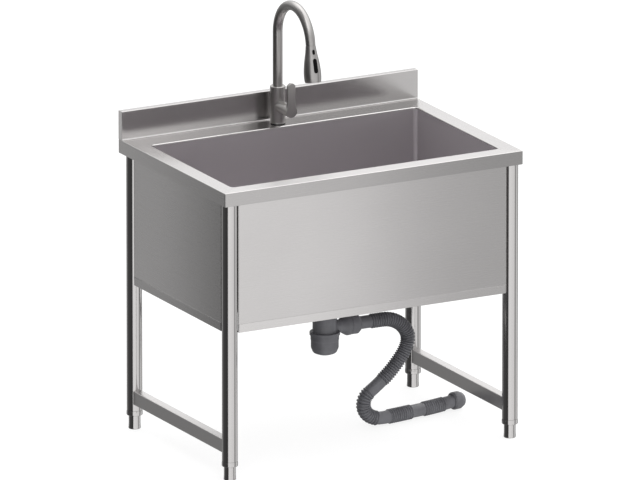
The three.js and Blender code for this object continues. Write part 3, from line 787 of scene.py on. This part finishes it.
def add_leg_plug(corner, centre):
    """The plug in the tube's lower end; only its collar shows."""
    low, high = box(f"leg_insert_{corner}")
    collar = (high - low).x / 2
    bore = STUD_RADIUS + 0.6
    inside_tube = leg_bore - 0.4
    plug = lathe(
        (bore, low.z), (collar, low.z, 2.5), (collar, COLLAR_SHOULDER, 4), (leg_radius, COLLAR_TOP),
        (inside_tube, COLLAR_TOP), (inside_tube, high.z), (bore, high.z), segments=96,
    )
    make_piece(
        f"leg_plug_{corner}", moved(plug, centre.x, centre.y), "tube_steel", [f"leg_insert_{corner}"]
    )


def add_foot(corner, centre):
    low, high = box(f"foot_{corner}")
    top = FOOT_TOP
    cup = lathe(
        (0, low.z), (15.3, low.z, 1), (16.6, low.z + 1.6, 1), (15.9, 14, 10), (15.9, top, 0.8),
        (STUD_RADIUS - 1, top), (STUD_RADIUS - 1, top - 4), (0, top - 4), segments=96,
    )
    stud = thread(STUD_RADIUS, 0.9, 1.75, top - 3, high.z)
    make_piece(
        f"foot_cup_{corner}", moved(joined(cup, stud), centre.x, centre.y), "tube_steel",
        [f"foot_{corner}"], body=f"foot_{corner}",
    )


for place in CORNERS:
    add_leg(place)


def add_rail(side):
    """A tube between the two legs of a side, its ends shaped to the round of the legs."""
    low, high = box(f"side_rail_{side}")
    centre = middle(f"side_rail_{side}")
    front = middle(f"leg_front_{side}").y
    back = middle(f"leg_back_{side}").y
    reach = leg_radius + 0.1

    def section(inward, y, towards):
        outline = rectangle((low.x + inward, low.z + inward), (high.x - inward, high.z - inward), 2.2)
        return [(x, y + towards * math.sqrt(reach**2 - (x - centre.x) ** 2), z) for x, z in outline]

    rings = [section(0, front, 1), section(0, back, -1), section(SHEET, back, -1), section(SHEET, front, 1)]
    make_piece(
        f"rail_{side}", skin(rings, wrap=True), "sheet_steel", [f"side_rail_{side}"], finish=rail_steel
    )


for side in ("left", "right"):
    add_rail(side)

# ---- drain: heights from the seat in the basin's floor ----

def add_drain():
    centre = middle("drain_flange")
    flange = lathe(
        (57, 0.3), (57, 1.3, 0.5), (54, 2.3, 2), (43.5, 1.6, 2), (42, -2, 1), (40, -38, 3), (20, -40, 2),
        (20, -72), (24, -72), (24, -44, 2), (42.6, -42, 2), (43.4, 0.3), segments=96,
    )
    make_piece("drain_cup", moved(flange, centre.x, centre.y, drain_seat), "drain_steel", ["drain_flange"])
    make_piece(
        "basket_strainer", moved(basket_shape(), centre.x, centre.y, drain_seat), "drain_steel",
        ["strainer_basket"], body="basket",
    )


def basket_shape():
    """A cup with a flanged rim, a knob in its middle, and rings of round holes in its floor."""
    wall = lathe(
        (0, -33), (35.5, -33, 3), (38.5, 1.2, 1), (43, 1.2, 0.4), (43, 2.2, 0.4), (37.3, 2.2, 1),
        (34.4, -31.8, 2), (3, -31.8, 1), (3, -6, 1.5), (6.5, -3.5, 2), (6.5, 3, 2.5), (0, 5), segments=96,
    )
    holes = []
    for ring_radius, count in ((12, 8), (19, 12), (26, 18)):
        for i in range(count):
            at = polar(ring_radius, math.tau * i / count)
            hole = [polar(1.9, math.tau * k / 12) for k in range(12)]
            holes.append(moved(prism(hole, -35, -30), *at))
    return combined(wall, joined(*holes), "DIFFERENCE")


add_drain()

# ---- trap: on the drain's axis, heights from the floor ----

TRAP_AXIS_Z = 296
TRAP_RADIUS = 33
FLANGE_RADIUS = 41.2
FLANGE_BOTTOM = 278
FLANGE_TOP = 287
BELL_RADIUS = 28.5
BELL_END = 73


def ribbed_nut(radius, bore, bottom, top, ribs, height=1.4):
    """A nut for the hand: a ring with low rounded ribs."""
    outline = []
    for i in range(ribs * 8):
        wave = max(math.cos(math.tau * i / 8), 0)
        outline.append(polar(radius + height * wave, math.tau * i / (ribs * 8)))
    count = len(outline)
    hole = [polar(bore, math.tau * i / count) for i in range(count)]
    chamfer = [p * (1 - 1.6 / radius) for p in outline]
    return skin([
        level(hole, bottom), level(chamfer, bottom), level(outline, bottom + 1.2),
        level(outline, top - 1.2), level(chamfer, top), level(hole, top),
    ], wrap=True)


def trap_body_shape():
    vessel = lathe(
        (24, 371.5), (24, 348, 3), (TRAP_RADIUS, 343, 4), (TRAP_RADIUS, FLANGE_TOP, 1),
        (FLANGE_RADIUS, FLANGE_TOP, 1.6), (FLANGE_RADIUS, FLANGE_BOTTOM, 1.2),
        (TRAP_RADIUS, FLANGE_BOTTOM), (TRAP_RADIUS, 267), (30, 267), (30, 340, 3), (21, 344, 2),
        (21, 371.5),
    )
    bell = lathe(
        (0, 27), (17.5, 27), (17.5, 45, 10), (26.4, BELL_END - 14, 5), (BELL_RADIUS, BELL_END - 10, 2),
        (BELL_RADIUS, BELL_END, 1.2), (0, BELL_END),
    )
    outlet = placed(bell, FACING_RIGHT)
    bore = placed(lathe((0, 10), (13.5, 10), (13.5, 80), (0, 80)), FACING_RIGHT)
    clear = lathe((0, 262), (30, 262), (30, 338), (0, 338))
    outside = combined(vessel, moved(outlet, z=TRAP_AXIS_Z), "UNION")
    return combined(combined(outside, moved(bore, z=TRAP_AXIS_Z), "DIFFERENCE"), clear, "DIFFERENCE")


def add_trap():
    x, y = drain_axis.x, drain_axis.y
    make_piece("trap_vessel", moved(trap_body_shape(), x, y), "charcoal_plastic", ["trap_body"])
    collar_top = FLANGE_BOTTOM - 0.4
    bottle = lathe(
        (0, 224), (18, 224, 14), (32, 229.5, 10), (37.5, 243, 12), (37.5, 263, 1), (38.5, 265, 0.6),
        (38.5, collar_top, 1), (33.6, collar_top, 0.5), (33.6, 263), (31, 263), (31, 258), (34.5, 254),
        (34.5, 241, 13), (21, 227.2, 12), (0, 227.2),
    )
    make_piece("trap_cup", moved(bottle, x, y), "charcoal_plastic", ["trap_bottle"])
    inlet_nut = ribbed_nut(32.4, 24.8, 352, 386, 20)
    make_piece("inlet_nut", moved(inlet_nut, x, y), "charcoal_plastic", ["trap_inlet_nut"])
    nut_start = BELL_END + 0.6
    union_nut = lathe(
        (17.9, nut_start), (27.6, nut_start, 1.2), (27.6, 95, 3), (21, 103, 1.5), (17.9, 103)
    )
    shape = moved(placed(union_nut, FACING_RIGHT), x, y, TRAP_AXIS_Z)
    make_piece("hose_union_nut", shape, "charcoal_plastic", ["outlet_nut"])


add_trap()

# ---- faucet: pieces on the body's axis, heights from the deck ----

SHANK_RADIUS = 16.5
BODY_RADIUS = 20.8
BODY_TOP = 105
BARREL_HEIGHT = 51
BARREL_RADIUS = 15.6
BARREL_END = 54
HUB_RADIUS = 17.3
HUB_FRONT = 81
BLADE_TOP = 130
BLADE_WIDTH = 23
SPOUT_RADIUS = 13.2
SPOUT_FOOT = 70
ARC_RADIUS = 94
ARC_HEIGHT = 254
ARC_TURN = math.radians(172)
SPOUT_TAIL = 4
HEAD_LENGTH = 100
BUTTON_TILT = math.radians(8)

faucet_axis = middle("faucet_base_gasket")
on_deck = Matrix.Translation((faucet_axis.x, faucet_axis.y, deck_high.z))
on_valve = on_deck @ Matrix.Translation((0, 0, BARREL_HEIGHT)) @ FACING_FRONT


def add_faucet_body():
    column = lathe(
        (0, 3.4), (BODY_RADIUS - 1.2, 3.4), (BODY_RADIUS - 1.2, 2.2), (BODY_RADIUS, 2.2, 0.4),
        (BODY_RADIUS, BODY_TOP - 1.6, 1), (BODY_RADIUS - 1.6, BODY_TOP, 1),
        (14.8, BODY_TOP, 0.6), (14.8, 68), (0, 68), segments=96,
    )
    barrel = lathe(
        (0, 0), (BARREL_RADIUS, 0), (BARREL_RADIUS, BARREL_END, 0.4), (0, BARREL_END), segments=96
    )
    bore = lathe((0, 14), (12, 14), (12, 70), (0, 70))
    at_barrel = Matrix.Translation((0, 0, BARREL_HEIGHT)) @ FACING_FRONT
    body = combined(column, placed(barrel, at_barrel), "UNION")
    body = combined(body, placed(bore, at_barrel), "DIFFERENCE")
    make_piece("faucet_column", placed(body, on_deck), "faucet_nickel", ["faucet_body"])
    inner, outer = SHANK_RADIUS + 0.4, BODY_RADIUS - 1.4
    gasket = lathe((inner, 0.2), (outer, 0.2, 0.4), (outer, 3.2, 0.4), (inner, 3.2))
    make_piece("base_gasket", placed(gasket, on_deck), "black_rubber", ["faucet_base_gasket"])


def add_bonnet():
    """The round cap that the lever's socket slides over."""
    outer, inner = BARREL_RADIUS, BARREL_RADIUS - 2
    arcs = [math.radians(2 + 48 * k / 10) for k in range(11)]
    profile = [Vector((0, BARREL_END)) + polar(outer, a) for a in arcs]
    profile += [Vector((0, BARREL_END)) + polar(inner, a) for a in reversed(arcs)]
    make_piece("bonnet", placed(turned(profile), on_valve), "faucet_nickel", ["bonnet_dome"])


def lever_outline(margin):
    """A blade with a round top that flares into the round hub. Its Y points up once it is on the valve."""
    half = BLADE_WIDTH / 2 - margin
    hub = HUB_RADIUS - margin
    top = BLADE_TOP - BARREL_HEIGHT - BLADE_WIDTH / 2
    flare = math.acos(half / (hub + 2.5))
    right = [polar(half, math.radians(90 - 9 * k)) + Vector((0, top)) for k in range(11)]
    blend = curve_through([(half, 30), (half + 0.6, 20), polar(hub, flare * 0.72)], steps=5)
    end_angle = math.atan2(blend[-1].y, blend[-1].x)
    bottom = [polar(hub, end_angle - (end_angle + math.pi / 2) * k / 14) for k in range(1, 15)]
    side = right + blend + bottom
    other = [Vector((-p.x, p.y)) for p in reversed(side[1:-1])]
    return side + other


def add_lever():
    back, front = HUB_FRONT - 9, HUB_FRONT
    paddle = prism(lever_outline(0), back, front, bevel=1.6, steps=5)
    socket = BARREL_RADIUS + 0.6
    arcs = [math.radians(11.5 + 78.5 * k / 10) for k in range(11)]
    cup = [(0, back + 2), (HUB_RADIUS - 0.2, back + 2), (HUB_RADIUS - 0.2, BARREL_END + 3.4)]
    cup += [Vector((0, BARREL_END)) + polar(socket, a) for a in arcs]
    shape = combined(paddle, turned(cup), "UNION")
    make_piece("lever", placed(shape, on_valve), "faucet_nickel", ["lever_handle"], body="lever")


def spout_path():
    """The gooseneck's centre line: a riser, an arc that leans forward, and a short straight tail."""
    riser = [Vector((0, 0, SPOUT_FOOT + (ARC_HEIGHT - SPOUT_FOOT) * k / 4)) for k in range(4)]
    arch = []
    for k in range(73):
        angle = ARC_TURN * k / 72
        forward = ARC_RADIUS * (1 - math.cos(angle))
        arch.append(Vector((0, -forward, ARC_HEIGHT + ARC_RADIUS * math.sin(angle))))
    tail = Vector((0, -math.sin(ARC_TURN), math.cos(ARC_TURN)))
    return [*riser, *arch, arch[-1] + tail * SPOUT_TAIL]


spout_line = spout_path()
at_head = (
    on_deck @ Matrix.Translation(spout_line[-1] - Vector((0, 0, 0.3)))
    @ Matrix.Rotation(ARC_TURN - math.pi, 4, "X")
)


def add_spout():
    tube = pipe_along(spout_line, SPOUT_RADIUS, SPOUT_RADIUS - 1.6, segments=64)
    make_piece("gooseneck", placed(tube, on_deck), "faucet_nickel", ["spout_tube"], body="spout")


# ---- spray head: its joint with the spout is the origin, and it hangs towards -Z ----

head_side = curve_through([(13.3, 0), (15.9, 21), (20.4, 46), (23.1, 71), (23.2, 90), (22, 100)], steps=6)
small_button = {"width": 7, "height": 13, "below": 18}
long_button = {"width": 11, "height": 39, "below": 54.5}


def head_radius(below):
    for upper, lower in zip(head_side, head_side[1:]):
        if upper.y <= below <= lower.y:
            return upper.x + (lower.x - upper.x) * (below - upper.y) / (lower.y - upper.y)
    return head_side[-1].x


def oval(width, height, steps=12):
    radius = width / 2
    reach = height / 2 - radius
    ends = []
    for side in (1, -1):
        for k in range(steps + 1):
            ends.append(polar(radius, math.pi * (k / steps + (side < 0))) + Vector((0, side * reach)))
    return ends


def on_head_front(below):
    """Where a button stands: its outline faces front, level with the head's side."""
    return (
        Matrix.Translation((0, -head_radius(below), -below))
        @ Matrix.Rotation(math.pi / 2 - BUTTON_TILT, 4, "X")
    )


def button_recess(button):
    outline = oval(button["width"] + 0.8, button["height"] + 0.8)
    return placed(prism(outline, -9, 5), on_head_front(button["below"]))


def add_button(name, button, body, node):
    plug = prism(oval(button["width"], button["height"]), -4.4, 0.8, bevel=0.7, steps=5)
    shape = placed(placed(plug, on_head_front(button["below"])), at_head)
    make_piece(name, shape, "black_plastic", [node], body=body)


def add_spray_head():
    outside = [(p.x, -p.y) for p in head_side]
    lip = [(21.2, -HEAD_LENGTH), (20, -HEAD_LENGTH + 1)]
    inside = [(p.x - 2.6, -p.y) for p in reversed(head_side) if 25 < p.y < 96]
    seam = [(6.6, 0), (12.2, 0), (12.2, -1.2), (13.3, -1.4)]
    shell = turned([*seam, *outside[1:], *lip, *inside, (6.6, -12)], segments=96)
    for button in (small_button, long_button):
        shell = combined(shell, button_recess(button), "DIFFERENCE")
    make_piece("spray_shell", placed(shell, at_head), "faucet_nickel", ["spray_head"], body="spray_head")
    add_button("button_rinse", small_button, "button_small", "spray_button_small")
    add_button("button_spray", long_button, "button_long", "spray_button_long")
    add_nozzle()
    add_spray_hose()


def add_nozzle():
    """The spray face: a disc with rings of soft nipples round the stream's outlet."""
    face = -HEAD_LENGTH + 1.2
    disc = lathe((0, face), (19, face, 0.8), (19, face + 4), (0, face + 4))
    shapes = [disc, lathe((0, face - 0.9), (4.5, face - 0.9, 0.5), (5.2, face + 0.2), (0, face + 0.2))]
    tip = face - 0.8
    for ring_radius, count in ((9, 10), (12.5, 16), (16, 20)):
        for i in range(count):
            nipple = lathe(
                (0, tip), (0.7, tip, 0.3), (1, face + 0.2), (0, face + 0.2), segments=12, steps=2
            )
            shapes.append(moved(nipple, *polar(ring_radius, math.tau * i / count)))
    make_piece(
        "spray_face", placed(joined(*shapes), at_head), "black_plastic", ["spray_nozzle"], body="spray_head"
    )


def add_spray_hose():
    """The hose in the dock, a short fixed tube baked in place; it rides on no body and does not draw out."""
    low, high = -14, 18
    rings = [circle(6, low + (high - low) * k / 80, 24) for k in range(81)]
    hose = make_piece("pull_hose", placed(skin(rings), at_head), "braided_hose", ["spray_hose"], body=None)
    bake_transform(hose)


add_faucet_body()
add_bonnet()
add_lever()
add_spout()
add_spray_head()

# ---- CAD nodes that still show, or show when something is taken off ----

KEPT_NODES = {
    "tube_steel": [f"leg_spigot_{corner}" for corner in CORNERS],
    "zinc_screw": [*(f"leg_screw_{corner}" for corner in CORNERS), "shank_washer"],
    "black_rubber": ["drain_gasket", "trap_seal"],
    "charcoal_plastic": ["drain_locknut", "trap_dip_tube"],
    "brass": ["faucet_shank", "shank_nut", "valve_stem", "lever_stem"],
    "white_plastic": ["spout_bush", "valve_cartridge", "dock_collar"],
}


def paint_kept_nodes():
    for slot, names in KEPT_NODES.items():
        for name in names:
            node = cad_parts[name]
            node.data.materials.clear()
            node.data.materials.append(materials[slot])


paint_kept_nodes()

# ---- studio: a pale floor, and a sky of soft screens that the steel reflects ----

FLOOR_SIZE = 400
FLOOR_GLOW = 0.82
BACKDROP_GLOW = 1.1
# How bright the studio is round the object: (degrees from the front towards the right, brightness)
LOW_SCREENS = [
    (-180, 0.3), (-150, 0.3), (-135, 0.08), (-56, 0.05), (-46, 1.05), (36, 0.95), (44, 0.42), (64, 0.42),
    (72, 0.85), (94, 0.8), (104, 0.36), (152, 0.36), (180, 0.3),
]
HIGH_SCREENS = [
    (-180, 0.9), (-150, 0.7), (-130, 0.2), (-60, 0.2), (-40, 1.1), (0, 0.9), (20, 0.74), (45, 0.74),
    (90, 0.9), (150, 1.14), (180, 1.0),
]


def screens(tree, turn, stops):
    """The brightness at each turn round the object, as a colour ramp through the stops."""
    ramp = tree.nodes.new("ShaderNodeValToRGB")
    ramp.color_ramp.interpolation = "EASE"
    elements = ramp.color_ramp.elements
    while len(elements) < len(stops):
        elements.new(0.5)
    brightest = max(level for _, level in stops)
    for element, (degrees, level) in zip(elements, stops):
        element.position = (degrees + 180) / 360
        element.color = (*[level / brightest] * 3, 1)
    gain = tree.nodes.new("ShaderNodeVectorMath")
    gain.operation = "SCALE"
    gain.inputs["Scale"].default_value = brightest
    tree.links.new(turn, ramp.inputs["Fac"])
    tree.links.new(ramp.outputs["Color"], gain.inputs[0])
    return gain.outputs["Vector"]


def turn_round_object(tree, direction):
    """0 to 1 as the direction goes from behind, over the left, the front and the right, to behind again."""
    front = tree.nodes.new("ShaderNodeMath")
    front.operation = "MULTIPLY"
    front.inputs[1].default_value = -1
    tree.links.new(direction.outputs["Y"], front.inputs[0])
    angle = tree.nodes.new("ShaderNodeMath")
    angle.operation = "ARCTAN2"
    tree.links.new(direction.outputs["X"], angle.inputs[0])
    tree.links.new(front.outputs["Value"], angle.inputs[1])
    return map_range(tree, angle.outputs["Value"], -math.pi, math.pi).outputs["Result"]


def make_world():
    world = bpy.data.worlds.new("studio")
    bpy.context.scene.world = world
    world.use_nodes = True
    tree = world.node_tree
    place = tree.nodes.new("ShaderNodeTexCoord")
    direction = tree.nodes.new("ShaderNodeSeparateXYZ")
    tree.links.new(place.outputs["Generated"], direction.inputs["Vector"])
    turn = turn_round_object(tree, direction)
    rise = map_range(tree, direction.outputs["Z"], -0.05, 0.22)
    rise.interpolation_type = "SMOOTHSTEP"
    mix = tree.nodes.new("ShaderNodeMix")
    mix.data_type = "VECTOR"
    tree.links.new(rise.outputs["Result"], mix.inputs[0])
    tree.links.new(screens(tree, turn, LOW_SCREENS), mix.inputs[4])
    tree.links.new(screens(tree, turn, HIGH_SCREENS), mix.inputs[5])
    overhead = map_range(tree, direction.outputs["Z"], 0.45, 0.7, 1, 2.2)
    background = tree.nodes["Background"]
    tree.links.new(overhead.outputs["Result"], background.inputs["Strength"])
    tree.links.new(mix.outputs[1], background.inputs["Color"])
    add_backdrop(tree)


def add_backdrop(tree):
    """Beyond the floor the picture stays as pale as the floor. The screens only light the object."""
    backdrop = tree.nodes.new("ShaderNodeBackground")
    backdrop.inputs["Color"].default_value = (1, 1, 1, 1)
    backdrop.inputs["Strength"].default_value = BACKDROP_GLOW
    ray = tree.nodes.new("ShaderNodeLightPath")
    choice = tree.nodes.new("ShaderNodeMixShader")
    tree.links.new(ray.outputs["Is Camera Ray"], choice.inputs["Fac"])
    tree.links.new(tree.nodes["Background"].outputs["Background"], choice.inputs[1])
    tree.links.new(backdrop.outputs["Background"], choice.inputs[2])
    tree.links.new(choice.outputs["Shader"], tree.nodes["World Output"].inputs["Surface"])


def make_floor():
    half = FLOOR_SIZE / 2
    corners = [(-half, -half, 0), (half, -half, 0), (half, half, 0), (-half, half, 0)]
    mesh = bpy.data.meshes.new("floor")
    mesh.from_pydata(corners, [], [(0, 1, 2, 3)])
    material = new_material("pale_floor", (0.25, 0.25, 0.25), 0.9)
    shader = material.node_tree.nodes["Principled BSDF"]
    shader.inputs["Emission Color"].default_value = (1, 1, 1, 1)
    shader.inputs["Emission Strength"].default_value = FLOOR_GLOW
    shader.inputs["Specular IOR Level"].default_value = 0
    mesh.materials.append(material)
    floor = bpy.data.objects.new("floor", mesh)
    floor.visible_glossy = False
    floor.visible_diffuse = False
    floor.visible_shadow = False
    bpy.context.scene.collection.objects.link(floor)


def add_softbox(name, location, size, towards, brightness, receivers):
    """A soft light that reaches only the receivers, as if flags kept it off everything else."""
    width, height = size
    data = bpy.data.lights.new(name, "AREA")
    data.shape = "RECTANGLE"
    data.size = width
    data.size_y = height
    data.energy = brightness * 4 * width * height
    softbox = bpy.data.objects.new(name, data)
    softbox.location = location
    softbox.rotation_euler = Vector(towards).to_track_quat("-Z", "Y").to_euler()
    softbox.visible_camera = False
    bpy.context.scene.collection.objects.link(softbox)
    lit = bpy.data.collections.new(f"{name}_receivers")
    for piece in receivers:
        lit.objects.link(piece)
    softbox.light_linking.receiver_collection = lit


make_world()
make_floor()
add_softbox("front_softbox", (0.27, -1.654, 0.3), (1.02, 2.6), (0, 1, 0), 0.6, [front_skirt, rim, backsplash])
add_softbox("left_skirt_softbox", (-0.7, 0.8, 0.3), (0.5, 1.4), (0, -1, 0), 0.54, [left_skirt])
add_softbox("right_skirt_softbox", (1.2, 0.8, 0.3), (1.5, 1.6), (0, -1, 0), 0.5, [right_skirt])
add_softbox("rim_softbox", (-0.87, 1.2, 0.3), (0.6, 1.4), (0, -1, 0), 0.34, [rim, backsplash])
add_softbox("basin_softbox", (-1.3, 0.3, 1.4), (1.2, 0.9), (1, -0.15, -0.5), 4.5, [basin])
bpy.context.scene.view_settings.view_transform = "Standard"
